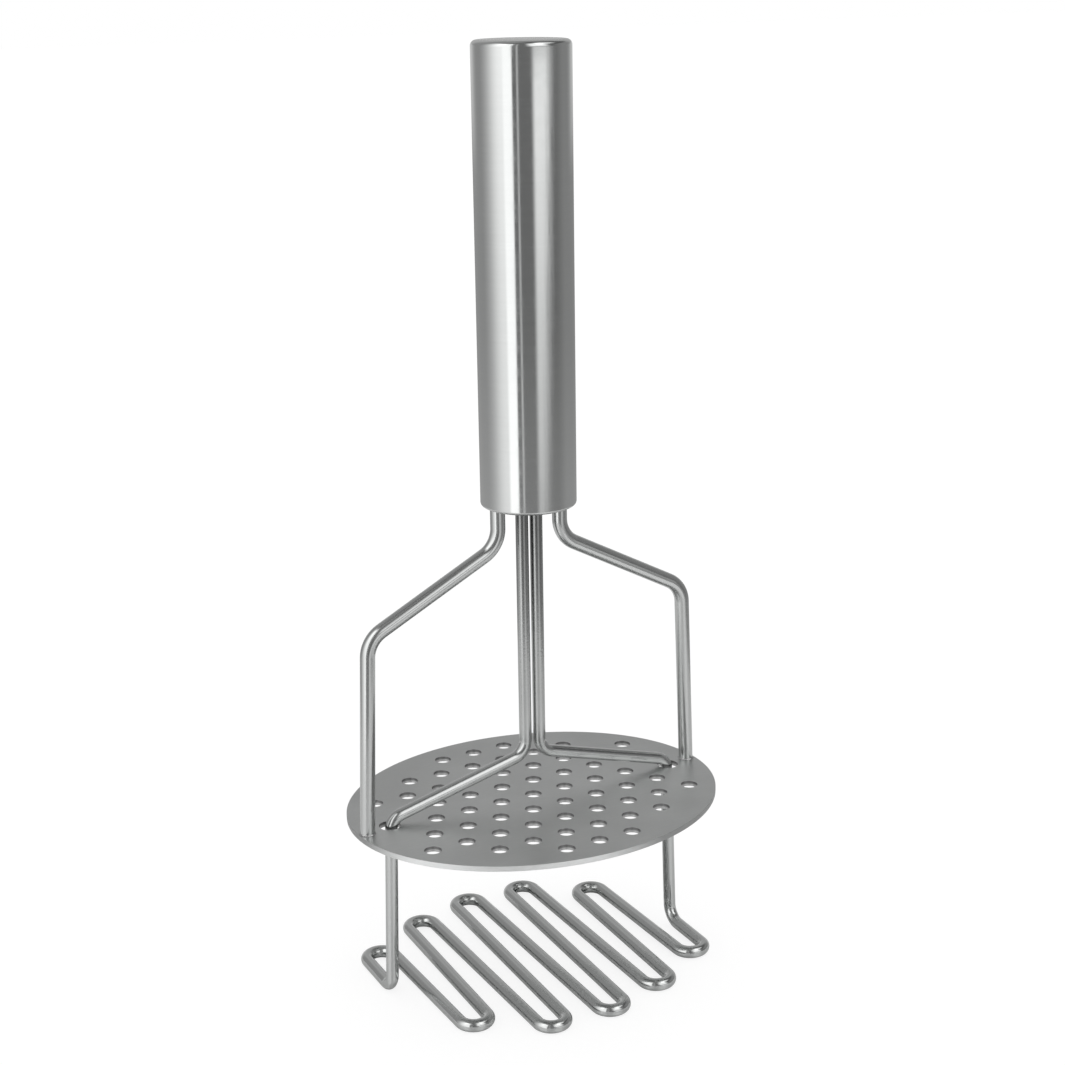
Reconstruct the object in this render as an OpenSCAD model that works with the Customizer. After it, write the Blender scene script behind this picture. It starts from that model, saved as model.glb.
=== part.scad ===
// Double potato masher: an oval perforated plate on a fixed wire frame, and a zigzag
// wire masher that slides up into the sprung handle.
// The origin is on the floor under the middle of the masher. X runs along the plate's
// long axis, from leg to leg, and Z runs up the handle.

/* [Handle] */
// Outside diameter of the handle tube
handle_d = 25.4; // [24:0.1:27]
// Wall thickness of the handle tube
handle_wall = 1.0; // [0.8:0.1:1.2]
// Height of the handle's lower edge above the floor
handle_bottom = 133; // [131:0.5:140]
// Height of the handle's top above the floor
handle_top = 252; // [245:0.5:265]
// Rounding of the tube's top edge
handle_top_round = 1.4; // [0.6:0.1:1.6]
// Rounding of the tube's lower edge
handle_bottom_round = 0.9; // [0.4:0.1:1.0]
// Thickness of the top cap
cap_t = 3.0; // [2:0.5:5]
// Height of the plug that closes the handle's lower end
plug_h = 16.4; // [12:0.2:20]

/* [Plate] */
// Length of the oval plate
plate_l = 105; // [102:0.5:112]
// Width of the oval plate
plate_w = 86; // [82:0.2:90]
// Thickness of the plate
plate_t = 1.5; // [1:0.1:2]
// Height of the plate's upper face above the floor
plate_top = 50; // [49:0.5:52]
// Diameter of the round holes
hole_d = 4.5; // [4:0.1:5.5]
// Distance between neighbouring holes
hole_pitch = 10; // [9:0.1:10.2]
// Angle of the hole pattern against the plate's long axis
pattern_turn = 3.0; // [0:0.1:3.2]
// Diameter of the two holes that the masher's wire slides through
slot_d = 5.8; // [5.8:0.1:6.8]
// Distance of those two holes from the middle
slot_x = 42.9; // [42.85:0.05:42.95]

/* [Legs] */
// Wire diameter of the legs
leg_d = 4.0; // [3.6:0.1:4.2]
// Distance of a leg from the handle's axis where it leaves the handle
leg_top_x = 9.15; // [9:0.05:9.2]
// Height of the bend below the handle
leg_bend_z = 122.7; // [118:0.1:124]
// Distance of a leg's shoulder from the axis
shoulder_x = 47.1; // [46.8:0.1:49]
// Height of the shoulder
shoulder_z = 102.7; // [101:0.1:108]
// Distance of a leg's foot from the axis
foot_r = 50.0; // [49.4:0.1:50.2]
// Angle of the line through both feet against the plate's long axis
foot_turn = 2.0; // [0:0.1:3]
// Bend radius of the legs, on the wire's centre line
leg_bend_r = 8; // [6:0.5:9]

/* [Masher wire] */
// Wire diameter of the sliding masher
wire_d = 3.4; // [3:0.1:3.4]
// Distance between the two rods in the handle
rod_gap = 4.2; // [4.1:0.1:4.4]
// Height at which the rods turn outward
arm_inner_z = 62.7; // [60:0.1:64]
// Distance from the axis at which the arms turn down
arm_outer_x = 42.4; // [42.2:0.1:42.6]
// Height at which the arms turn down
arm_outer_z = 51.8; // [51.8:0.1:52.2]
// Bend radius at the arms' inner ends
arm_inner_r = 5; // [4:0.5:6]
// Bend radius at the arms' outer ends
arm_outer_r = 4; // [3.5:0.5:4]
// Bend radius at the uprights' lower ends
upright_r = 4.5; // [4:0.5:5]
// Distance from the middle at which the uprights reach the zigzag
upright_x = 43.9; // [43.6:0.1:44.2]
// Distance between neighbouring runs of the zigzag
run_pitch = 8.86; // [8.7:0.02:8.9]
// Radius of the zigzag's loops, on the wire's centre line
loop_r = 3.95; // [3.6:0.05:4.0]
// How far the zigzag's loops reach to the back and front, from the outermost pair to the middle one
loop_reach = [21.5, 28.5, 32.8, 38.8, 38.8]; // [20:0.1:40]

/* [Inside the handle] */
// Free radius round the rods in their guide
rod_clear = 0.05; // [0.02:0.01:0.1]
// Diameter of the plunger that joins the rods
plunger_d = 22.8; // [20:0.1:22.8]
// Thickness of the plunger's disc
plunger_t = 6; // [4:0.5:8]
// Wire diameter of the spring
spring_wire = 1.2; // [1:0.1:1.4]
// Mean diameter of the spring's turns
spring_d = 15.2; // [15:0.1:17]
// Number of the spring's turns
spring_turns = 14; // [10:1:18]

/* [Hidden] */
handle_r = handle_d / 2;
bore_r = handle_r - handle_wall;
lip_h = 0.6;
lip_r = 11.35;
ring_t = 1.2;
ring_depth = 0.4;
ring_inner_r = 10.2;
ring_mouth = 6;
ring_z = handle_bottom + lip_h + plug_h;
stop_gap = 0.3;
plunger_z = ring_z + ring_t + stop_gap;
boss_d = 13.4;
cap_boss_h = 4;
cap_chamfer = 0.25;
plunger_boss_h = 3;
rod_weld_r = 4.6;
rod_weld_h = 0.9;
guide_d = 12;
guide_flange_d = 14;
guide_flange_t = 1.2;
weld_r = 2.4;
weld_h = 0.35;
weld_cove = 0.25;
leg_top_z = ring_z;
wire_z = wire_d / 2;
row_gap = hole_pitch * sqrt(3) / 2;
rod_top_z = plunger_z + plunger_t + plunger_boss_h;
spring_low = plunger_z + plunger_t;
spring_high = handle_top - cap_t;
hole_rows = [7, 8, 9, 6, 3];
bend_thin = 0.02;
bend_lap = 0.1;
round_fn = 96;
wire_fn = 48;
spring_sides = 6;
spring_rings = 12;
big = 200;

// The unit vector along v
function unit(v) = v / norm(v);

// The flat vector v turned by an angle
function turned(v, angle) = [v.x * cos(angle) - v.y * sin(angle), v.x * sin(angle) + v.y * cos(angle)];

// The angle of a flat vector
function heading(v) = atan2(v.y, v.x);

// The cosine of an angle, kept within its limits against rounding
function cosine(u, v) = max(-1, min(1, u * v));

// How far a wire turns at point i of a path
function turn_at(path, i) = acos(cosine(unit(path[i] - path[i - 1]), unit(path[i + 1] - path[i])));

// The length that a rounded corner takes from each side of point i, with nothing at the ends
function corner_cut(path, radii, i) =
    i == 0 || i == len(path) - 1 ? 0 : radii[i - 1] * tan(turn_at(path, i) / 2);

// A frame's matrix from its three axes and its origin
function frame(x, y, z, at) = [
    [x.x, y.x, z.x, at.x],
    [x.y, y.y, z.y, at.y],
    [x.z, y.z, z.z, at.z],
    [0, 0, 0, 1]
];

// A round rod from one point to another
module rod(from, to, d) {
    along = unit(to - from);
    helper = abs(along.z) > 0.9 ? [0, 1, 0] : [0, 0, 1];
    x = unit(cross(helper, along));
    multmatrix(frame(x, cross(along, x), along, from))
        cylinder(h = norm(to - from), d = d, $fn = wire_fn);
}

// The rounded corner of a wire at point i of a path
module corner(path, radii, i, d) {
    into = unit(path[i] - path[i - 1]);
    out = unit(path[i + 1] - path[i]);
    inward = unit(out - (out * into) * into);
    r = radii[i - 1];
    start = path[i] - into * corner_cut(path, radii, i);
    multmatrix(frame(-inward, into, cross(-inward, into), start + inward * r))
        rotate_extrude(angle = turn_at(path, i), $fn = round_fn)
            translate([r, 0])
                circle(d = d - bend_thin, $fn = wire_fn);
}

// A wire along a path of points, with a bend radius for each point between its ends.
// The bends are a trace thinner than the straight lengths, which run a little way into them.
module bent_wire(path, radii, d) {
    last = len(path) - 1;
    for (i = [0 : last - 1]) {
        along = unit(path[i + 1] - path[i]);
        lap_a = i == 0 ? 0 : bend_lap;
        lap_b = i == last - 1 ? 0 : bend_lap;
        from = path[i] + along * (corner_cut(path, radii, i) - lap_a);
        to = path[i + 1] - along * (corner_cut(path, radii, i + 1) - lap_b);
        rod(from, to, d);
    }
    for (i = [1 : last - 1])
        corner(path, radii, i, d);
}

// The zigzag's loops, counted from 1 at the left: odd ones lie at the back, even ones in front.
function loop_x(j) = (j - 5.5) * run_pitch;
function loop_side(j) = j % 2 == 1 ? 1 : -1;
function loop_row(j) = j <= 5 ? j - 1 : 10 - j;
function loop_centre(j) = [loop_x(j), loop_side(j) * (loop_reach[loop_row(j)] - loop_r)];

// The direction from a loop's centre to the point where the next run leaves it
function run_normal(j) =
    let (gap = loop_centre(j + 1) - loop_centre(j))
    turned(unit(gap), loop_side(j) * acos(2 * loop_r / norm(gap)));
function run_start(j) = loop_centre(j) + loop_r * run_normal(j);
function run_end(j) = loop_centre(j + 1) - loop_r * run_normal(j);

// The first half run touches loop 1 and starts under the left upright.
function first_normal() =
    let (gap = [-upright_x, 0] - loop_centre(1))
    -turned(unit(gap), -acos(loop_r / norm(gap)));
function first_touch() = loop_centre(1) - loop_r * first_normal();

// A flat point lifted to the middle of the lowest wire
function lifted(p) = [p.x, p.y, wire_z];

module wave_run(j) {
    from = lifted(run_start(j));
    to = lifted(run_end(j));
    lap = bend_lap * unit(to - from);
    rod(from - lap, to + lap, wire_d);
}

module wave_loop(j) {
    before = -(j == 1 ? first_normal() : run_normal(j - 1));
    after = run_normal(j);
    first = loop_side(j) == 1 ? after : before;
    second = loop_side(j) == 1 ? before : after;
    sweep = (heading(second) - heading(first) + 720) % 360;
    translate(lifted(loop_centre(j)))
        rotate([0, 0, heading(first)])
            rotate_extrude(angle = sweep, $fn = round_fn)
                translate([loop_r, 0])
                    circle(d = wire_d - bend_thin, $fn = wire_fn);
}

// Half of the masher's wire: a rod, its arm, an upright, and the zigzag up to the middle run
module half_wire() {
    touch = lifted(first_touch());
    foot = [-upright_x, 0, wire_z];
    lap = bend_lap * unit(touch - foot);
    path = [
        [-rod_gap / 2, 0, rod_top_z],
        [-rod_gap / 2, 0, arm_inner_z],
        [-arm_outer_x, 0, arm_outer_z],
        foot,
        touch + lap
    ];
    bent_wire(path, [arm_inner_r, arm_outer_r, upright_r], wire_d);
    for (j = [1 : 5])
        wave_loop(j);
    for (j = [1 : 4])
        wave_run(j);
}

module wave_wire() {
    color([0.68, 0.68, 0.68]) union() {
        half_wire();
        rotate([0, 0, 180]) half_wire();
        wave_run(5);
    }
}

// The handle's tube: a turned profile with a round top edge, a rounded lower edge with a
// narrow lip that holds the plug, and a groove for the retaining ring.
module handle_tube() {
    color([0.74, 0.74, 0.74]) rotate_extrude($fn = round_fn) difference() {
        tube_outline();
        translate([0, handle_bottom + lip_h]) square([bore_r, handle_top]);
        translate([0, handle_bottom - 1]) square([lip_r, 3]);
        translate([0, ring_z]) square([bore_r + ring_depth, ring_t]);
    }
}

module tube_outline() {
    a = handle_bottom_round;
    b = handle_top_round;
    union() {
        translate([0, handle_bottom]) square([handle_r - a, 2 * a]);
        translate([0, handle_bottom + a]) square([handle_r, handle_top - handle_bottom - a - b]);
        translate([0, handle_top - 2 * b]) square([handle_r - b, 2 * b]);
        translate([handle_r - a, handle_bottom + a]) circle(a, $fn = wire_fn);
        translate([handle_r - b, handle_top - b]) circle(b, $fn = wire_fn);
    }
}

// The cap closes the tube's top. Its rim is chamfered, and a boss under it centres the spring.
module top_cap() {
    c = cap_chamfer;
    color([0.78, 0.78, 0.78]) rotate_extrude($fn = round_fn) polygon([
        [0, spring_high - cap_boss_h],
        [boss_d / 2, spring_high - cap_boss_h],
        [boss_d / 2, spring_high],
        [bore_r, spring_high],
        [bore_r, handle_top - c],
        [bore_r - c, handle_top],
        [0, handle_top]
    ]);
}

// The plug carries the legs in two tight holes and the rods' guide in its middle.
module end_plug() {
    low = handle_bottom + lip_h;
    color([0.6, 0.6, 0.6]) difference() {
        translate([0, 0, low]) cylinder(h = plug_h, r = bore_r, $fn = round_fn);
        translate([0, 0, low - 1]) cylinder(h = plug_h + 2, d = guide_d, $fn = round_fn);
        translate([0, 0, ring_z - guide_flange_t]) cylinder(h = 2, d = guide_flange_d, $fn = round_fn);
        for (side = [-1, 1])
            translate([side * leg_top_x, 0, low - 1]) cylinder(h = plug_h + 2, d = leg_d, $fn = wire_fn);
    }
}

// The guide is a flanged bush with two bores side by side, in which the rods slide.
module rod_guide() {
    low = handle_bottom + lip_h;
    color([0.9, 0.9, 0.88]) difference() {
        union() {
            translate([0, 0, low]) cylinder(h = plug_h, d = guide_d, $fn = round_fn);
            translate([0, 0, ring_z - guide_flange_t])
                cylinder(h = guide_flange_t, d = guide_flange_d, $fn = round_fn);
        }
        for (side = [-1, 1])
            translate([side * rod_gap / 2, 0, low - 1])
                cylinder(h = plug_h + 2, d = wire_d + 2 * rod_clear, $fn = wire_fn);
    }
}

// The ring sits in the tube's groove and keeps the plug from being pushed up.
module retaining_ring() {
    color([0.35, 0.35, 0.36]) translate([0, 0, ring_z]) difference() {
        cylinder(h = ring_t, r = bore_r + ring_depth, $fn = round_fn);
        translate([0, 0, -1]) cylinder(h = ring_t + 2, r = ring_inner_r, $fn = round_fn);
        translate([-ring_mouth / 2, 0, -1]) cube([ring_mouth, handle_r, ring_t + 2]);
    }
}

// Where a leg's middle line meets the plate
function foot(side) = [side * foot_r * cos(foot_turn), side * foot_r * sin(foot_turn), plate_top];

// A leg goes out of the plug, slants out to its shoulder and stands on the plate.
module leg(side) {
    shoulder = [side * shoulder_x, 0, shoulder_z];
    path = [
        [side * leg_top_x, 0, leg_top_z],
        [side * leg_top_x, 0, leg_bend_z],
        shoulder,
        foot(side) + unit(foot(side) - shoulder)
    ];
    difference() {
        bent_wire(path, [leg_bend_r, leg_bend_r], leg_d);
        translate([-big / 2, -big / 2, plate_top - big]) cube([big, big, big]);
    }
}

module left_leg() {
    color([0.66, 0.66, 0.66]) leg(-1);
}

module right_leg() {
    color([0.66, 0.66, 0.66]) leg(1);
}

// A low bead of weld metal round each foot
module foot_welds() {
    color([0.55, 0.55, 0.55]) for (side = [-1, 1]) difference() {
        translate(foot(side)) rotate_extrude($fn = wire_fn) difference() {
            square([weld_r, weld_h]);
            translate([weld_r, weld_h]) circle(weld_cove, $fn = wire_fn);
        }
        leg(side);
    }
}

// The perforated plate: rows of round holes along its length, staggered by half a step, and
// one larger hole near each end for the masher's wire.
module mashing_plate() {
    color([0.6, 0.6, 0.6]) difference() {
        translate([0, 0, plate_top - plate_t]) linear_extrude(plate_t)
            scale([plate_l / plate_w, 1]) circle(d = plate_w, $fn = round_fn);
        rotate([0, 0, pattern_turn]) for (row = [-4 : 4]) {
            count = hole_rows[abs(row)];
            for (k = [0 : count - 1])
                translate([(k - (count - 1) / 2) * hole_pitch, row * row_gap, plate_top - plate_t - 1])
                    cylinder(h = plate_t + 2, d = hole_d, $fn = wire_fn);
        }
        for (side = [-1, 1])
            translate([side * slot_x, 0, plate_top - plate_t - 1])
                cylinder(h = plate_t + 2, d = slot_d, $fn = wire_fn);
    }
}

// The plunger joins the two rods inside the handle and carries the spring.
module plunger() {
    color([0.5, 0.5, 0.5]) difference() {
        union() {
            translate([0, 0, plunger_z]) cylinder(h = plunger_t, d = plunger_d, $fn = round_fn);
            translate([0, 0, spring_low]) cylinder(h = plunger_boss_h, d = boss_d, $fn = round_fn);
        }
        for (side = [-1, 1])
            translate([side * rod_gap / 2, 0, plunger_z - 1])
                cylinder(h = plunger_t + plunger_boss_h + 2, d = wire_d, $fn = wire_fn);
    }
}

// A low dome of weld metal over the rods' ends
module rod_weld() {
    r = (rod_weld_r * rod_weld_r + rod_weld_h * rod_weld_h) / (2 * rod_weld_h);
    color([0.55, 0.55, 0.55]) translate([0, 0, rod_top_z]) rotate_extrude($fn = round_fn) intersection() {
        translate([0, rod_weld_h - r]) circle(r, $fn = 4 * round_fn);
        square([rod_weld_r, rod_weld_h]);
    }
}

// The spring's first and last turns lie close, and the turns between share the rest.
close_pitch = spring_wire + 0.15;
spring_rise = spring_high - spring_low - spring_wire;
open_pitch = (spring_rise - 2 * close_pitch) / (spring_turns - 2);
function spring_z(turn) = spring_low + spring_wire / 2
    + min(turn, 1) * close_pitch
    + max(0, min(turn, spring_turns - 1) - 1) * open_pitch
    + max(0, turn - spring_turns + 1) * close_pitch;

// A point of the spring's skin, for a ring along it and a corner round it
function spring_point(ring, corner) =
    let (turn = ring / spring_rings,
         around = 360 * corner / spring_sides,
         r = (spring_d + spring_wire * cos(around)) / 2)
    [r * cos(360 * turn), r * sin(360 * turn), spring_z(turn) + spring_wire * sin(around) / 2];

module spring() {
    rings = spring_turns * spring_rings;
    points = [for (i = [0 : rings]) for (c = [0 : spring_sides - 1]) spring_point(i, c)];
    sides = [
        for (i = [0 : rings - 1]) for (c = [0 : spring_sides - 1])
            let (a = i * spring_sides + c, b = i * spring_sides + (c + 1) % spring_sides)
            each [[a, b, b + spring_sides], [a, b + spring_sides, a + spring_sides]]
    ];
    start = [for (c = [1 : spring_sides - 2]) [0, c + 1, c]];
    tip = rings * spring_sides;
    end = [for (c = [1 : spring_sides - 2]) [tip, tip + c, tip + c + 1]];
    color([0.4, 0.4, 0.42]) polyhedron(points = points, faces = concat(sides, start, end));
}

handle_tube();
top_cap();
end_plug();
rod_guide();
retaining_ring();
left_leg();
right_leg();
foot_welds();
mashing_plate();
wave_wire();
plunger();
rod_weld();
spring();
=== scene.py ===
# %% [markdown]
# # A sprung double potato masher in polished and satin steel
# The construction is loaded first: every solid arrives in metres, with Z up the handle and X
# along the plate. What we add here are smoother surfaces where light would show a facet, and
# the finishes. Steel has no colour of its own to speak of, so most of this lesson is about
# what the steel has to reflect.

# %% Load the construction
import bpy
import bmesh
import numpy as np
from mathutils import Matrix


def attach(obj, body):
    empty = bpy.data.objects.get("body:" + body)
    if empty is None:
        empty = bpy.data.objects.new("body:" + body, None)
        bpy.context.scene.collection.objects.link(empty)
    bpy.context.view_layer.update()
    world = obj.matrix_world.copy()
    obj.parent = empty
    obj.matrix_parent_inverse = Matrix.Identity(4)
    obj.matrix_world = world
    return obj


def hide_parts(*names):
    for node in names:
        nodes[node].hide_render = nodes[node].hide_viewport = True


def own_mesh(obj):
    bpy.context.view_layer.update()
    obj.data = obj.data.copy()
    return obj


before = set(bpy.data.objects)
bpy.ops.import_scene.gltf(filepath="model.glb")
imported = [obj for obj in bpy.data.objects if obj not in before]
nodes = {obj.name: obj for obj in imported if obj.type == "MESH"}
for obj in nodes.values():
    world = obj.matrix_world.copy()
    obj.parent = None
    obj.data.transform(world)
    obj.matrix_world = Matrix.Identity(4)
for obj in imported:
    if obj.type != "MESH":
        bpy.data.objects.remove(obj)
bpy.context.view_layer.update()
mm = 0.001

# %% [markdown]
# ## Helpers for surfaces
# Every new piece is a grid of points: rows run along the piece and columns run round it. One
# helper turns such a grid into a mesh, so each piece only has to say where its points lie.
# Closing the grid along, or with a flat face at each end, is a choice of that helper.


# %% Grid to mesh
def surface(name, points, crease, along=None, closed_rows=False, ends=False):
    """A mesh from points[row, column]. Columns close round the piece. Face (i, j) joins rows i
    and i+1 and columns j and j+1. Edges sharper than crease, in degrees, stay sharp. The UV map
    holds the share of the way round and the distance along, or else the row's number."""
    rows, cols = points.shape[:2]
    row_a = np.arange(rows if closed_rows else rows - 1)
    row_b = (row_a + 1) % rows
    col_a = np.arange(cols)
    col_b = (col_a + 1) % cols
    quads = np.stack([
        row_a[:, None] * cols + col_a, row_a[:, None] * cols + col_b,
        row_b[:, None] * cols + col_b, row_b[:, None] * cols + col_a], axis=-1).reshape(-1, 4)
    faces = quads.tolist()
    if ends:
        faces.append(list(range(cols))[::-1])
        faces.append(list(range((rows - 1) * cols, rows * cols)))
    mesh = bpy.data.meshes.new(name)
    mesh.from_pydata(points.reshape(-1, 3).tolist(), [], faces)
    around = np.stack([col_a, col_a + 1, col_a + 1, col_a], axis=-1)[None] / cols
    around = np.tile(around, (len(row_a), 1, 1))
    distance = np.arange(rows + 1) if along is None else np.append(along, along[-1])
    onward = np.stack([distance[row_a], distance[row_a],
                       distance[row_a + 1], distance[row_a + 1]], axis=-1)
    onward = np.broadcast_to(onward[:, None, :], around.shape)
    uv = np.zeros((len(mesh.loops), 2))
    uv[:around.size] = np.stack([around, onward], axis=-1).reshape(-1, 2)
    layer = mesh.uv_layers.new(name="around_along")
    layer.data.foreach_set("uv", uv.ravel())
    mesh.shade_smooth()
    mesh.set_sharp_from_angle(angle=np.radians(crease))
    piece = bpy.data.objects.new(name, mesh)
    bpy.context.scene.collection.objects.link(piece)
    print(name, "faces", len(mesh.polygons))
    return piece


# %% [markdown]
# ## Bent wire
# Wire is the simplest of forms: a circle carried along a line. The line is straight lengths
# joined by arcs, as a bending machine leaves them. At each bend the circle's frame turns about
# the axis of the bend, so the wire never twists, and a grain drawn along it stays in line.


# %% Line with bends
same_place = 0.001


def unit(v):
    """The direction of v."""
    return v / np.linalg.norm(v)


def bent_line(corners, radii, step=np.radians(4)):
    """Points, two frame directions and run length along a line with rounded corners.
    An arc is centre + r (a sin t - b cos t), with a the way in and b the way towards the centre,
    and the frame is turned by t about a x b. The first length may not run along Y. Where one
    arc ends just as the next begins, the doubled point is dropped."""
    corners = [np.asarray(c, float) for c in corners]
    way = [unit(b - a) for a, b in zip(corners, corners[1:])]
    side = unit(np.cross(way[0], [0, 1, 0]))
    up = np.cross(way[0], side)
    places, sides, ups = [corners[0][None]], [side[None]], [up[None]]
    for i, radius in enumerate(radii):
        a, c = way[i], way[i + 1]
        angle = np.arccos(np.clip(a @ c, -1, 1))
        b = unit(c - (c @ a) * a)
        start = corners[i + 1] - a * radius * np.tan(angle / 2)
        t = np.linspace(0, angle, max(3, int(np.ceil(angle / step)) + 1))[:, None]
        places.append(start + radius * b + radius * (a * np.sin(t) - b * np.cos(t)))
        axis = np.cross(a, b)
        for v, found in ((side, sides), (up, ups)):
            found.append(v * np.cos(t) + np.cross(axis, v) * np.sin(t)
                         + axis * (axis @ v) * (1 - np.cos(t)))
        side, up = sides[-1][-1], ups[-1][-1]
    places.append(corners[-1][None])
    sides.append(side[None])
    ups.append(up[None])
    line, side, up = (np.concatenate(x) for x in (places, sides, ups))
    moved_on = np.append(True, np.linalg.norm(np.diff(line, axis=0), axis=1) > same_place)
    line, side, up = line[moved_on], side[moved_on], up[moved_on]
    length = np.append(0, np.cumsum(np.linalg.norm(np.diff(line, axis=0), axis=1)))
    return line, side, up, length


# %% Round wire
def wire(name, corners, radii, diameter, sides=40):
    """A round wire: line + r (cos t side + sin t up), in metres from corners in millimetres."""
    line, side, up, length = bent_line(corners, radii)
    t = np.linspace(0, 2 * np.pi, sides, endpoint=False)[None, :, None]
    skin = line[:, None] + diameter / 2 * (np.cos(t) * side[:, None] + np.sin(t) * up[:, None])
    piece = surface(name, skin * mm, crease=50, along=length * mm, ends=True)
    print(name, "wire length", round(float(length[-1]), 1), "mm")
    return piece


# %% [markdown]
# ## The two legs
# Each leg is a 4 mm wire: straight out of the handle, a slant, a shoulder, and down to the
# plate. They carry the whole push of the hand, so they are the thicker wire of the two. The
# second leg is the first turned half round, so one list of corners serves both.

# %% Legs
leg_d = 4.0
leg_bend = 8
plug_top = 150.0
plate_top = 50.0
leg_x, slant_top = 9.15, 122.7
shoulder_x, shoulder_z = 47.1, 102.7
foot_reach, foot_turn = 50.0, np.radians(2.0)
foot_x, foot_y = foot_reach * np.cos(foot_turn), foot_reach * np.sin(foot_turn)
foot_z = plate_top + 0.02
leg_points = [(leg_x, 0, plug_top), (leg_x, 0, slant_top), (shoulder_x, 0, shoulder_z),
              (foot_x, foot_y, foot_z)]
for side_name, sign in (("left_leg", -1), ("right_leg", 1)):
    leg_corners = [(sign * x, sign * y, z) for x, y, z in leg_points]
    leg = wire(side_name + "_wire", leg_corners, [leg_bend, leg_bend], leg_d)
    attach(leg, "handle")
    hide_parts(side_name)

# %% [markdown]
# ## The sliding masher
# One wire makes the rods, the arms, the uprights and the zigzag. Its ten loops are nearly half
# circles between runs that lean a little, so we work out where a run touches two loops: the
# tangent from one circle to the next. Two corners, each of about a quarter turn and rounded
# with the loop's radius, draw a loop.

# %% Zigzag
wire_d = 3.4
floor_z = wire_d / 2
pitch = 8.86
loop_r = 3.95
upright_x = 43.9
half_reach = [21.5, 28.5, 32.8, 38.8, 38.8]
loop_reach = np.array(half_reach + half_reach[::-1])
loop = np.arange(len(loop_reach))
back = np.where(loop % 2 == 0, 1.0, -1.0)
centre = np.stack([(loop - loop.mean()) * pitch, back * (loop_reach - loop_r)], axis=1)


def turned(v, angle):
    """Flat vectors v turned by angles."""
    c, s = np.cos(angle), np.sin(angle)
    return np.stack([v[..., 0] * c - v[..., 1] * s, v[..., 0] * s + v[..., 1] * c], axis=-1)


gap = np.diff(centre, axis=0)
span = np.linalg.norm(gap, axis=1, keepdims=True)
leaves = turned(gap / span, back[:-1] * np.arccos(2 * loop_r / span[:, 0]))
first_gap = np.array([-upright_x, 0]) - centre[0]
first_span = np.linalg.norm(first_gap)
first = turned(first_gap / first_span, -np.arccos(loop_r / first_span))
ways_in = np.vstack([first, -leaves])
ways_out = np.vstack([leaves, -first])
heading_in = np.arctan2(ways_in[:, 1], ways_in[:, 0])
heading_out = np.arctan2(ways_out[:, 1], ways_out[:, 0])
sweep = -back * (np.mod(-back * (heading_out - heading_in), 2 * np.pi))
corner_far = loop_r / np.cos(sweep / 4)
zigzag = np.stack([
    centre + corner_far[:, None] * turned(ways_in, sweep / 4),
    centre + corner_far[:, None] * turned(ways_in, 3 * sweep / 4)], axis=1).reshape(-1, 2)
print("loop sweeps", np.degrees(sweep).round(1))

# %% Masher wire
rod_top = 160.5
rod_x = 2.1
arm_inner_z, arm_outer_x, arm_outer_z = 62.7, 42.4, 51.8
rod_bend, arm_bend, foot_bend = 5, 4, 4.5
left_half = [(-rod_x, 0, rod_top), (-rod_x, 0, arm_inner_z), (-arm_outer_x, 0, arm_outer_z),
             (-upright_x, 0, floor_z)]
right_half = [(-x, -y, z) for x, y, z in reversed(left_half)]
corners = left_half + [(x, y, floor_z) for x, y in zigzag] + right_half
outer_bends = [rod_bend, arm_bend, foot_bend]
bends = outer_bends + [loop_r] * len(zigzag) + outer_bends[::-1]
masher = wire("masher_wire", corners, bends, wire_d, sides=36)
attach(masher, "masher")
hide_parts("wave_wire")

# %% [markdown]
# ## Turned pieces
# The handle's tube, the cap and the weld beads are round about an axis, so they are one
# profile turned round it. Rounded edges are arcs in the profile.


# %% Turned surface
def turned_piece(name, profile, at=(0, 0), sides=192, closed=True, ends=False, crease=35,
                 ripple=None):
    """Profile points (r, z) in millimetres turned about a vertical axis:
    (x + r cos t, y + r sin t, z). ripple is a function of the angle that scales r and z.
    A profile that isn't closed can have a flat face over each of its ends."""
    profile = np.asarray(profile, float)
    t = np.linspace(0, 2 * np.pi, sides, endpoint=False)
    r = profile[:, 0][:, None] * np.ones_like(t)
    z = profile[:, 1][:, None] * np.ones_like(t)
    if ripple is not None:
        r, z = ripple(r, z, t)
    skin = np.stack([at[0] + r * np.cos(t), at[1] + r * np.sin(t), z], axis=-1)
    return surface(name, skin * mm, crease=crease, closed_rows=closed, ends=ends)


def arc(centre_r, centre_z, radius, start, stop, count=9):
    """Points of an arc in a profile, from one angle to another in degrees."""
    a = np.radians(np.linspace(start, stop, count))
    return np.stack([centre_r + radius * np.cos(a), centre_z + radius * np.sin(a)], axis=1)


# %% Handle tube
tube_r = 12.7
bore_r = 11.7
low, high = 133.0, 252.0
low_round, high_round = 0.9, 1.4
lip_r, lip_thick = 11.35, 0.6
lip_top = low + lip_thick
top_start = np.degrees(np.arccos((bore_r - (tube_r - high_round)) / high_round))
tube_profile = np.vstack([
    [(lip_r, low)],
    arc(tube_r - low_round, low + low_round, low_round, -90, 0),
    arc(tube_r - high_round, high - high_round, high_round, 0, top_start),
    [(bore_r, lip_top), (lip_r, lip_top)]])
tube = turned_piece("handle_shell", tube_profile)
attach(tube, "handle")
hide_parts("handle_tube")

# %% [markdown]
# The cap is a flat disc pressed into the tube, with a boss under it that centres the spring.
# Its edge has a small bevel, and against the tube's round edge that leaves the thin dark seam
# that the eye reads as a separate piece. The profile stops short of the axis, where a small
# flat face closes the cap above and below.

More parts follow.
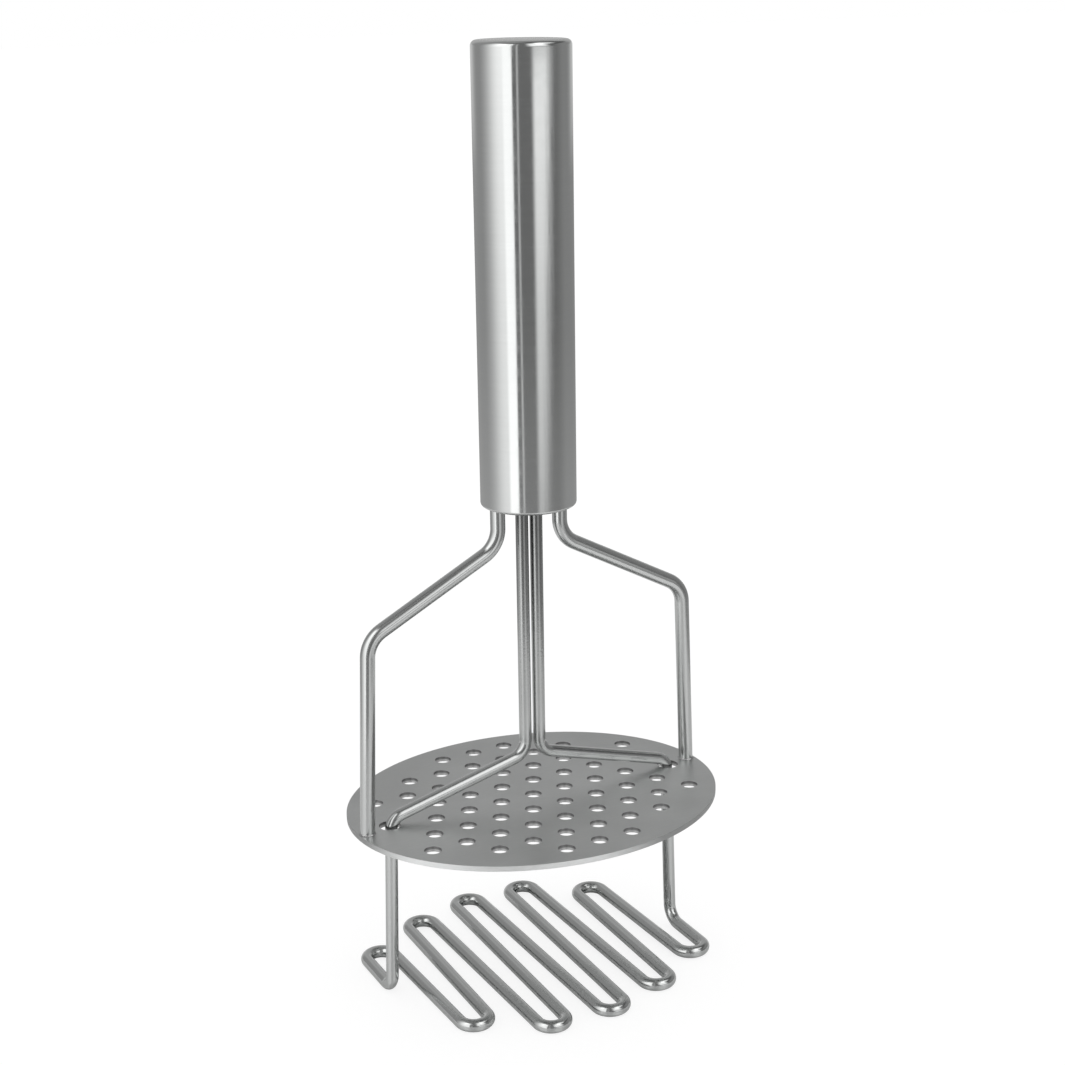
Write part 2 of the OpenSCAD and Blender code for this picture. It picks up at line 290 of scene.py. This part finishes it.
# %% Top cap
cap_r = bore_r - 0.02
cap_low = 249.0
cap_bevel = 0.25
boss_r, boss_low = 6.7, 245.0
flat_r = 2.0
cap_profile = np.vstack([
    [(flat_r, boss_low), (boss_r, boss_low), (boss_r, cap_low), (cap_r, cap_low)],
    arc(cap_r - cap_bevel, high - cap_bevel, cap_bevel, 0, 90, 5),
    [(flat_r, high)]])
cap = turned_piece("cap_disc", cap_profile, closed=False, ends=True)
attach(cap, "handle")
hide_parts("top_cap")

# %% [markdown]
# ## The plate
# The plate is punched from sheet. The solid from the construction is right, but its edges are
# perfectly sharp, and a punched and tumbled edge is not: it shows as a fine bright line. We
# take a copy of the solid, join its loose triangles, and round every edge by about a tenth of
# a millimetre.

# %% Plate
edge_round = 0.09
mesh = nodes["mashing_plate"].data.copy()
mesh.name = "plate_sheet"
work = bmesh.new()
work.from_mesh(mesh)
bmesh.ops.remove_doubles(work, verts=work.verts, dist=0.002 * mm)
bmesh.ops.dissolve_limit(work, angle_limit=np.radians(0.5), verts=work.verts, edges=work.edges)
work.to_mesh(mesh)
work.free()
plate = bpy.data.objects.new("plate_sheet", mesh)
bpy.context.scene.collection.objects.link(plate)
bevel = plate.modifiers.new("rounded edges", "BEVEL")
bevel.width = edge_round * mm
bevel.segments = 2
bevel.limit_method = "ANGLE"
bevel.angle_limit = np.radians(50)
bevel.harden_normals = True
mesh.shade_smooth()
mesh.set_sharp_from_angle(angle=np.radians(30))
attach(plate, "handle")
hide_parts("mashing_plate")
print("plate faces", len(mesh.polygons))

# %% [markdown]
# ## Weld beads
# A leg's foot is run round with weld. The bead is a low cove from the wire to the sheet, with
# the small ripples that the arc leaves as it moves on.

# %% Foot welds
bead_in, bead_out = 1.9, 2.4
bead_low, bead_high = plate_top + 0.01, plate_top + 0.37
cove_r = 0.4
cove_x, cove_z = bead_out + 0.02, plate_top + 0.42


def bead_ripple(r, z, t):
    """Scales how far the bead stands out and up by 1 + 10% of a wave with nine crests + 6% of
    one with five."""
    wave = 1 + 0.10 * np.sin(9 * t) + 0.06 * np.sin(5 * t + 1)
    return bead_in + (r - bead_in) * wave, plate_top + (z - plate_top) * wave


bead_profile = np.vstack([
    [(bead_in, bead_low), (bead_out, bead_low)],
    arc(cove_x, cove_z, cove_r, -92, -172),
    [(bead_in, bead_high)]])
for sign, name in ((-1, "left_foot_weld"), (1, "right_foot_weld")):
    bead = turned_piece(name, bead_profile, at=(sign * foot_x, sign * foot_y), sides=96,
                        crease=60, ripple=bead_ripple)
    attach(bead, "handle")
    if sign < 0:
        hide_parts("foot_welds")

# %% [markdown]
# ## The spring in the handle
# It is hidden, but each piece can be looked at alone, so it is wound properly: close turns at
# both ends and open turns between. It stands between the plunger and the cap.

# %% Spring
spring_low, spring_high = 157.5, cap_low
coil_wire, coil_d, turns = 1.2, 15.2, 14
close_pitch = coil_wire + 0.15
steps_per_turn, coil_sides = 24, 12
steps = np.linspace(0, turns, turns * steps_per_turn + 1)
open_pitch = (spring_high - spring_low - coil_wire - 2 * close_pitch) / (turns - 2)
rise = (np.minimum(steps, 1) * close_pitch + (np.clip(steps, 1, turns - 1) - 1) * open_pitch
        + np.maximum(steps - turns + 1, 0) * close_pitch)
a = 2 * np.pi * steps[:, None]
t = np.linspace(2 * np.pi, 0, coil_sides, endpoint=False)[None]
r = (coil_d + coil_wire * np.cos(t)) / 2
coil = np.stack([r * np.cos(a), r * np.sin(a),
                 spring_low + coil_wire / 2 + rise[:, None] + coil_wire / 2 * np.sin(t)], axis=-1)
spring = surface("return_spring", coil * mm, crease=60, ends=True)
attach(spring, "handle")
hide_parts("spring")
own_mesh(spring)

# %% [markdown]
# ## Finishes
# All the steel here is one metal with different grain. A few helpers add shader nodes: a node
# takes each of its inputs as a plain value or as another node's socket, and sockets know which
# tree they belong to.


# %% Node helpers
def node(tree, kind, inputs=None, **settings):
    """A new node with its settings, and its inputs set to values or linked to sockets."""
    n = tree.nodes.new(kind)
    for key, value in settings.items():
        setattr(n, key, value)
    for key, value in (inputs or {}).items():
        if isinstance(value, bpy.types.NodeSocket):
            tree.links.new(value, n.inputs[key])
        else:
            n.inputs[key].default_value = value
    return n


def value_math(tree, operation, *values):
    """The result of one operation on numbers."""
    return node(tree, "ShaderNodeMath", dict(enumerate(values)), operation=operation).outputs[0]


def vector_math(tree, operation, *values):
    """The result of one operation on vectors, which is a number for a length or a product."""
    n = node(tree, "ShaderNodeVectorMath", dict(enumerate(values)), operation=operation)
    return n.outputs["Value" if operation in ("DOT_PRODUCT", "LENGTH") else "Vector"]


def ramp(value, start, stop, low_end, high_end):
    """low_end at start and high_end at stop, straight between them and level beyond."""
    return node(value.id_data, "ShaderNodeMapRange",
                {"Value": value, "From Min": start, "From Max": stop,
                 "To Min": low_end, "To Max": high_end}).outputs["Result"]


# %% [markdown]
# A node group turns a position into grain. Its streaks are noise that is stretched along one
# direction until it reads as fine scratches, and its clouds are broad patches. The shader stays
# outside the group, in each material.

# %% Grain group
grain = bpy.data.node_groups.new("drawn_grain", "ShaderNodeTree")
for label, kind, start_value in (("Position", "NodeSocketVector", (0, 0, 0)),
                                 ("Stretch", "NodeSocketVector", (1, 1, 1)),
                                 ("Cloud size", "NodeSocketFloat", 60.0)):
    socket = grain.interface.new_socket(label, in_out="INPUT", socket_type=kind)
    socket.default_value = start_value
for label in ("Streaks", "Clouds"):
    grain.interface.new_socket(label, in_out="OUTPUT", socket_type="NodeSocketFloat")
given = node(grain, "NodeGroupInput").outputs
scaled = vector_math(grain, "MULTIPLY", given["Position"], given["Stretch"])
fine = node(grain, "ShaderNodeTexNoise",
            {"Vector": scaled, "Scale": 1.0, "Detail": 6.0, "Roughness": 0.7})
clouds = node(grain, "ShaderNodeTexNoise",
              {"Vector": given["Position"], "Scale": given["Cloud size"], "Detail": 3.0})
node(grain, "NodeGroupOutput", {"Streaks": fine.outputs["Fac"], "Clouds": clouds.outputs["Fac"]})
print("grain group nodes", len(grain.nodes))

# %% [markdown]
# One recipe makes every steel. The colour and the roughness follow the streaks and the clouds,
# and the streaks also dent the surface a very little. Steel that was tumbled has fine dimples
# besides. A veil makes part of a piece darker, with a soft step across a given height or
# direction; most veils here are painted shade.

# %% Steel recipe
dent_depth = 0.05 * mm
dimple_size = 1300.0
streaks_in_roughness = 0.1


def steel(name, colour, rough, stretch, use_uv=False, bump=0.1, streak=0.05, cloud=0.04,
          cloud_size=60.0, mottle=0.0, pits=0.0, veil=()):
    """A metal of colour (1 +- streak) (1 +- mottle) and of roughness rough +- cloud. stretch is
    how fine the streaks are along the position's three axes, and cloud_size how fine the clouds
    are. bump and pits are the strength of the streaks' dents and of the dimples. veil holds
    steps: a direction, from, to, and the share of the colour that is left beyond."""
    mat = bpy.data.materials.new(name)
    mat.use_nodes = True
    tree = mat.node_tree
    shader = tree.nodes["Principled BSDF"]
    shader.inputs["Metallic"].default_value = 1.0
    place = node(tree, "ShaderNodeTexCoord").outputs
    pattern = node(tree, "ShaderNodeGroup",
                   {"Position": place["UV" if use_uv else "Object"], "Stretch": stretch,
                    "Cloud size": cloud_size}, node_tree=grain).outputs
    shares = [ramp(pattern["Streaks"], 0.3, 0.7, 1 - streak, 1 + streak),
              ramp(pattern["Clouds"], 0.35, 0.65, 1 - mottle, 1 + mottle)]
    for direction, start, stop, left in veil:
        far = vector_math(tree, "DOT_PRODUCT", place["Object"], direction)
        shares.append(ramp(far, start, stop, 1.0, left))
    tint = colour
    for share in shares:
        tint = vector_math(tree, "MULTIPLY", tint, share)
    tree.links.new(tint, shader.inputs["Base Color"])
    matt = ramp(pattern["Clouds"], 0.3, 0.7, rough - cloud, rough + cloud)
    matt = value_math(tree, "MULTIPLY_ADD", pattern["Streaks"], streaks_in_roughness, matt)
    tree.links.new(matt, shader.inputs["Roughness"])
    dents = node(tree, "ShaderNodeBump",
                 {"Height": pattern["Streaks"], "Strength": bump, "Distance": dent_depth})
    if pits:
        specks = node(tree, "ShaderNodeTexNoise",
                      {"Vector": place["Object"], "Scale": dimple_size, "Detail": 2.0})
        dents = node(tree, "ShaderNodeBump",
                     {"Height": specks.outputs["Fac"], "Strength": pits, "Distance": dent_depth,
                      "Normal": dents.outputs["Normal"]})
    tree.links.new(dents.outputs["Normal"], shader.inputs["Normal"])
    return mat


# %% [markdown]
# The veils, in metres: painted shade along the tube's lower edge, painted shade that darkens the
# rods in two steps on their way up between the legs, painted shade that halves the plate's
# painted bright rim towards the back, and a darker top part on the hole walls. The wires carry
# their streaks on their own UV map, because a bent wire has no straight axis to follow.

# %% Veils
up = (0.0, 0.0, 1.0)
backward = (0.45, 0.89, 0.0)
# Painted shade along the tube's last half millimetre.
tube_edge_shade = (up, 0.1338, 0.1333, 0.72)
# Painted shade: the rods get darker in two steps on their way up between the legs and towards the
# handle.
rods_low_shade = (up, 0.064, 0.078, 0.87)
rods_high_shade = (up, 0.095, 0.13, 0.55)
# Painted shade: the rim's painted highlight is halved towards the back.
rim_shade_behind = (backward, -0.039, -0.028, 0.5)
# The hole walls are darker in their top part.
dark_wall_top = (up, 0.0490, 0.0494, 0.42)
print("the tube's painted edge shade ends", round(tube_edge_shade[1] / mm - low, 2), "mm above its lower end")

# %% Steels
wire_colour = (0.6, 0.61, 0.605)
satin_tube = steel("satin_tube", (0.655, 0.665, 0.66), 0.07, (60, 60, 2500), streak=0.02,
                   bump=0.03, cloud=0.035, cloud_size=260.0, veil=(tube_edge_shade,))
satin_cap = steel("satin_cap", (0.69, 0.7, 0.695), 0.2, (300, 300, 300), streak=0.03)
polished_wire = steel("polished_wire", wire_colour, 0.12, (30, 8, 1), use_uv=True, streak=0.04)
satin_wire = steel("satin_wire", wire_colour, 0.11, (40, 10, 1), use_uv=True, streak=0.06,
                   pits=0.3, veil=(rods_low_shade, rods_high_shade))
satin_sheet = steel("satin_sheet", (0.595, 0.605, 0.6), 0.32, (200, 3000, 300), mottle=0.1,
                    cloud_size=22.0)
# The rim's pale colour is a painted highlight, bright at the front and halved by painted shade
# towards the back.
painted_bright_rim = steel("painted_bright_rim", (0.84, 0.85, 0.845), 0.4, (300, 300, 2500), streak=0.06,
                   veil=(rim_shade_behind,))
punched_wall = steel("punched_wall", (0.5, 0.5, 0.5), 0.28, (500, 500, 100), streak=0.1,
                     veil=(dark_wall_top,))
weld_steel = steel("weld_steel", (0.5, 0.5, 0.5), 0.3, (900, 900, 900), streak=0.15, bump=0.3)
turned_steel = steel("turned_steel", (0.6, 0.6, 0.6), 0.25, (80, 80, 6000))
dark_spring = steel("dark_spring", (0.3, 0.3, 0.31), 0.3, (600, 600, 600), streak=0.1)
print("materials:", sorted(material.name for material in bpy.data.materials))

# %% [markdown]
# The rods' guide is nylon, which needs no oil. It is the only piece that isn't steel. Then each
# piece gets its finish. Inside the handle all but the spring are the construction's own solids.

# %% Nylon and dressing
nylon = bpy.data.materials.new("white_nylon")
nylon.use_nodes = True
nylon_shader = nylon.node_tree.nodes["Principled BSDF"]
nylon_shader.inputs["Base Color"].default_value = (0.85, 0.85, 0.82, 1)
nylon_shader.inputs["Roughness"].default_value = 0.45


def dress(piece, *materials):
    """Gives a piece its materials in place of those that it has."""
    piece.data.materials.clear()
    for material in materials:
        piece.data.materials.append(material)


for name in ("left_leg_wire", "right_leg_wire"):
    dress(bpy.data.objects[name], polished_wire)
for name in ("left_foot_weld", "right_foot_weld"):
    dress(bpy.data.objects[name], weld_steel)
dress(masher, satin_wire)
dress(tube, satin_tube)
dress(cap, satin_cap)
dress(plate, satin_sheet, painted_bright_rim, punched_wall)
dress(spring, dark_spring)
for name, material in (("end_plug", turned_steel), ("plunger", turned_steel),
                       ("rod_weld", weld_steel), ("retaining_ring", dark_spring),
                       ("rod_guide", nylon)):
    dress(nodes[name], material)

# %% [markdown]
# The plate's walls have their own tone: the hole walls are darker in their top part and paler
# lower down. The outer rim is pale as a painted highlight, brightest at the front. A wall's faces
# are those whose normal lies flat, and the rim's lie farthest out on the oval.

# %% Plate walls
half_long, half_wide = 52.5, 43.0
rim_from = 0.97
faces = plate.data.polygons
normal, spot = np.zeros(3 * len(faces)), np.zeros(3 * len(faces))
faces.foreach_get("normal", normal)
faces.foreach_get("center", spot)
normal, spot = normal.reshape(-1, 3), spot.reshape(-1, 3) / mm
wall = np.abs(normal[:, 2]) < 0.5
rim = np.hypot(spot[:, 0] / half_long, spot[:, 1] / half_wide) > rim_from
finish = np.where(wall, np.where(rim, 1, 2), 0)
faces.foreach_set("material_index", finish.astype(np.int32))
print("faces of the sheet, rim and hole walls", np.bincount(finish))

# %% [markdown]
# ## The studio
# Polished steel is a picture of the room, so the room is built like a photographer's: a pale
# table, a plain white world that lights everything evenly, and walls that only reflections
# see. The walls are one large ball round the masher. What shines there is a tall soft box to
# the left of the camera, others to the right, and between them the dark of the camera itself.
# That dark gap is what makes steel in a white room look like steel.

# %% [markdown]
# The camera comes first, because the room is built round it. Its place, its turns and its lens
# were fitted to the outlines of the real masher in its picture: it looks down from the left
# front, about half a metre away.

# %% Camera
turn = np.radians(26.746)
pitch_down = np.radians(16.312)
roll = np.radians(0.910)
lens_mm = 67.235
aim_side, aim_height, eye_far = 0.911, 124.97, 526.9
right = np.array([np.cos(turn), -np.sin(turn), 0.0])
ahead = np.array([np.sin(turn) * np.cos(pitch_down), np.cos(turn) * np.cos(pitch_down),
                  -np.sin(pitch_down)])
below = np.cross(ahead, right)
right_rolled = np.cos(roll) * right + np.sin(roll) * below
below_rolled = -np.sin(roll) * right + np.cos(roll) * below
aim = (aim_side * right + np.array([0, 0, aim_height])) * mm
eye = aim - eye_far * mm * ahead
cam_data = bpy.data.cameras.new("camera")
cam_data.sensor_width = 36.0
cam_data.lens = lens_mm
cam = bpy.data.objects.new("camera", cam_data)
bpy.context.scene.collection.objects.link(cam)
stand = np.eye(4)
stand[:3] = np.stack([right_rolled, -below_rolled, -ahead, eye], axis=1)
cam.matrix_world = Matrix(stand.tolist())
bpy.context.scene.camera = cam
print("camera at", eye.round(4))

# %% [markdown]
# The world is white for the camera and for any reflection that gets past the walls. Where it
# lights a surface it is a little under white, so that pale surfaces don't clip.

# %% World
daylight = 0.95
world = bpy.data.worlds.new("white_room")
bpy.context.scene.world = world
world.use_nodes = True
world_tree = world.node_tree
world_tree.nodes.clear()
ray = node(world_tree, "ShaderNodeLightPath").outputs
seen = value_math(world_tree, "MAXIMUM", ray["Is Camera Ray"], ray["Is Glossy Ray"])
seen = value_math(world_tree, "MAXIMUM", seen, ray["Is Transmission Ray"])
plain = node(world_tree, "ShaderNodeBackground",
             {"Color": (1, 1, 1, 1), "Strength": ramp(seen, 0, 1, daylight, 1.0)})
node(world_tree, "ShaderNodeOutputWorld", {"Surface": plain.outputs[0]})
print("world light", daylight)

# %% [markdown]
# The walls' light is written as a map: how bright each direction is, by its angle round the
# masher from the camera's side and by its height above the horizon. Patches with soft edges
# are added up. The values were found by reading the stripes on the handle and the wires back
# through the mirror law.

# %% Wall ball
wall_r = 2500.0
wall_z = 125.0
wall_top = 89.9
ball = turned_piece("studio_walls", arc(0, wall_z, wall_r, -wall_top, wall_top, 61),
                    sides=96, closed=False)
ball.visible_camera = ball.visible_diffuse = False
ball.visible_shadow = ball.visible_transmission = False
walls = bpy.data.materials.new("studio_walls")
walls.use_nodes = True
walls.cycles.emission_sampling = "NONE"
wall_tree = walls.node_tree
wall_tree.nodes.clear()


# %% Soft edges
def sum_of(a, b, scale=1.0):
    """a * scale + b."""
    return value_math(a.id_data, "MULTIPLY_ADD", a, scale, b)


def product(a, b):
    """a * b."""
    return value_math(a.id_data, "MULTIPLY", a, b)


def soft(value, start, stop):
    """0 at the first value and 1 at the second, smooth between; they may be in falling order."""
    return node(value.id_data, "ShaderNodeMapRange",
                {"Value": value, "From Min": start, "From Max": stop},
                interpolation_type="SMOOTHSTEP").outputs["Result"]


def band(value, rise_from, rise_to, fall_from, fall_to):
    """1 between two soft edges."""
    return product(soft(value, rise_from, rise_to), soft(value, fall_to, fall_from))


# %% Directions in degrees
to_degrees = 180 / np.pi
towards = -unit(ahead[:2])
place = node(wall_tree, "ShaderNodeTexCoord").outputs["Object"]
from_middle = vector_math(wall_tree, "SUBTRACT", place, (0, 0, wall_z * mm))
way = vector_math(wall_tree, "NORMALIZE", from_middle)
facing = vector_math(wall_tree, "DOT_PRODUCT", way, (towards[0], towards[1], 0))
across = vector_math(wall_tree, "DOT_PRODUCT", way, tuple(right))
lift = node(wall_tree, "ShaderNodeSeparateXYZ", {0: way}).outputs["Z"]
angle = product(value_math(wall_tree, "ARCTAN2", across, facing), to_degrees)
height = product(value_math(wall_tree, "ARCSINE", lift), to_degrees)
away = value_math(wall_tree, "ABSOLUTE", angle)
print("camera stands towards", towards.round(3))

# %% [markdown]
# The soft boxes, by their edges in degrees: where the light starts to rise, where it is full,
# where it starts to fall and where it ends. The left one is the brightest, and a wash beside
# it falls off slowly to the left. A narrow strip in the dark gap gives a thin glint. Two boxes
# hang higher to the right, the second of them farther round.


# %% Soft boxes
def soft_box(sides, rise, box_level):
    """A patch of light between soft edges in angle and in height."""
    return product(product(band(angle, *sides), band(height, *rise)), box_level)


tall = (-36, -29, 54, 66)
left_level, glint_level, upper_level, side_level = 1.28, 0.42, 1.2, 1.1
wash_level = sum_of(height, 1.05, 0.013)
left_box = soft_box((-47, -40, -24, -20), tall, left_level)
left_wash = soft_box((-111, -47, -47, -40), tall, wash_level)
glint = soft_box((-12.8, -11.4, -8.6, -7.2), tall, glint_level)
upper_box = soft_box((8, 29, 54, 74), (4, 23, 50, 75), upper_level)
side_box = soft_box((40, 54, 98, 112), (40, 50, 66, 76), side_level)
print("levels of the left, upper and side boxes", left_level, upper_level, side_level)

# %% [markdown]
# The right box stands low and gets weaker towards the floor. Its far edge is a crumpled
# reflector, which gives the right-hand band on the handle its ragged side: the edge's angle is
# moved by noise, and leans with the height.

# %% Ragged right box
folds = (14.0, 14.0, 150.0)
fold_depth = 50.0
edge_lean = -0.8
near_side, far_side = (19, 31), (104, 71)
right_rise = (-26, -20, 3, 7)
right_low, right_high = 0.4, 1.24
crumple = node(wall_tree, "ShaderNodeTexNoise",
               {"Vector": vector_math(wall_tree, "MULTIPLY", way, folds),
                "Scale": 1.0, "Detail": 3.0}).outputs["Fac"]
far_edge = sum_of(height, sum_of(crumple, angle, fold_depth), edge_lean)
right_box = product(soft(angle, *near_side), soft(far_edge, *far_side))
right_box = product(right_box, ramp(height, -22, 12, right_low, right_high))
right_box = product(right_box, band(height, *right_rise))
print("levels of the right box, low and high", right_low, right_high)

# %% [markdown]
# The room behind them is dark in front and overhead. Each part of it adds its own tone: it is
# paler from the sides to the back, more so on the left, and the wall behind the masher is a
# light grey that the plate's upper face shows. Under the horizon it gets paler in two steps,
# and high on the right it is darker.

# %% Room tones
dark_room = 0.19
paler_sides = soft(away, 75, 110)
left_wall = band(angle, -180, -150, -105, -75)
rear_wall = product(soft(away, 130, 160), band(height, -3, 2, 42, 58))
rear_horizon = product(soft(away, 120, 150), band(height, -4, -1, 6, 12))
under_horizon = soft(height, -8, -20)
near_floor = soft(height, -24, -34)
dark_corner = product(band(angle, 60, 80, 140, 160), soft(height, 26, 36))
room_parts = [(paler_sides, 0.1), (left_wall, 0.05), (rear_wall, 0.17), (rear_horizon, 0.2),
              (under_horizon, 0.08), (near_floor, 0.35), (dark_corner, -0.16)]
light = dark_room
for part, tone in room_parts:
    light = sum_of(part, light, tone)
for box in (left_box, left_wash, glint, right_box, upper_box, side_box):
    light = sum_of(box, light)
shine = node(wall_tree, "ShaderNodeEmission", {"Color": (1, 1, 1, 1), "Strength": light})
node(wall_tree, "ShaderNodeOutputMaterial", {"Surface": shine.outputs[0]})
dress(ball, walls)
print("wall nodes", len(wall_tree.nodes))

# %% [markdown]
# The masher stands on a pale floor. For the camera the floor is white and keeps a faint soft
# shadow. In reflections it is a sheet of limited size, as a photographer's table is, and past
# its edge the steel sees the dark of the room.

# %% Floor
floor_half = 6.0
floor_corners = [(-floor_half, -floor_half, 0), (floor_half, -floor_half, 0),
                 (floor_half, floor_half, 0), (-floor_half, floor_half, 0)]
floor_mesh = bpy.data.meshes.new("floor")
floor_mesh.from_pydata(floor_corners, [], [(0, 1, 2, 3)])
floor = bpy.data.objects.new("floor", floor_mesh)
bpy.context.scene.collection.objects.link(floor)
floor_mat = bpy.data.materials.new("pale_floor")
floor_mat.use_nodes = True
floor_tree = floor_mat.node_tree
floor_tree.nodes.clear()
print("floor of", 2 * floor_half, "m")


# %% Floor for the camera and for the light
def grey(level):
    """A colour with three equal parts."""
    return (level, level, level, 1)


def shader_node(kind, inputs):
    """The output of a new shader in the floor's tree."""
    return node(floor_tree, kind, inputs).outputs[0]


floor_glow = 0.84
lit = shader_node("ShaderNodeBsdfDiffuse", {"Color": grey(0.8)})
shade = shader_node("ShaderNodeBsdfDiffuse", {"Color": grey(0.2)})
glow = shader_node("ShaderNodeEmission", {"Color": grey(1), "Strength": floor_glow})
white = shader_node("ShaderNodeAddShader", {0: shade, 1: glow})
print("the floor's own light", floor_glow)

# %% Floor in reflections
table_from, table_to = 0.27, 0.295
table_shift = (0.028, 0, 0)
on_floor = node(floor_tree, "ShaderNodeTexCoord").outputs["Object"]
on_floor = vector_math(floor_tree, "ADD", on_floor, table_shift)
past_table = soft(vector_math(floor_tree, "LENGTH", on_floor), table_from, table_to)
matt_sheet = shader_node("ShaderNodeBsdfDiffuse", {"Color": grey(0.62)})
gloss = shader_node("ShaderNodeBsdfGlossy", {"Color": grey(0.22), "Roughness": 0.25})
silk = shader_node("ShaderNodeAddShader", {0: matt_sheet, 1: gloss})
clear = shader_node("ShaderNodeBsdfTransparent", {})
table = shader_node("ShaderNodeMixShader", {0: past_table, 1: silk, 2: clear})
ray = node(floor_tree, "ShaderNodeLightPath").outputs
base = shader_node("ShaderNodeMixShader", {0: ray["Is Glossy Ray"], 1: lit, 2: table})
pick = shader_node("ShaderNodeMixShader", {0: ray["Is Camera Ray"], 1: base, 2: white})
node(floor_tree, "ShaderNodeOutputMaterial", {"Surface": pick})
dress(floor, floor_mat)
print("in reflections the table ends", table_to, "m from its middle")

# %% Settings
bpy.context.scene.view_settings.view_transform = "Standard"
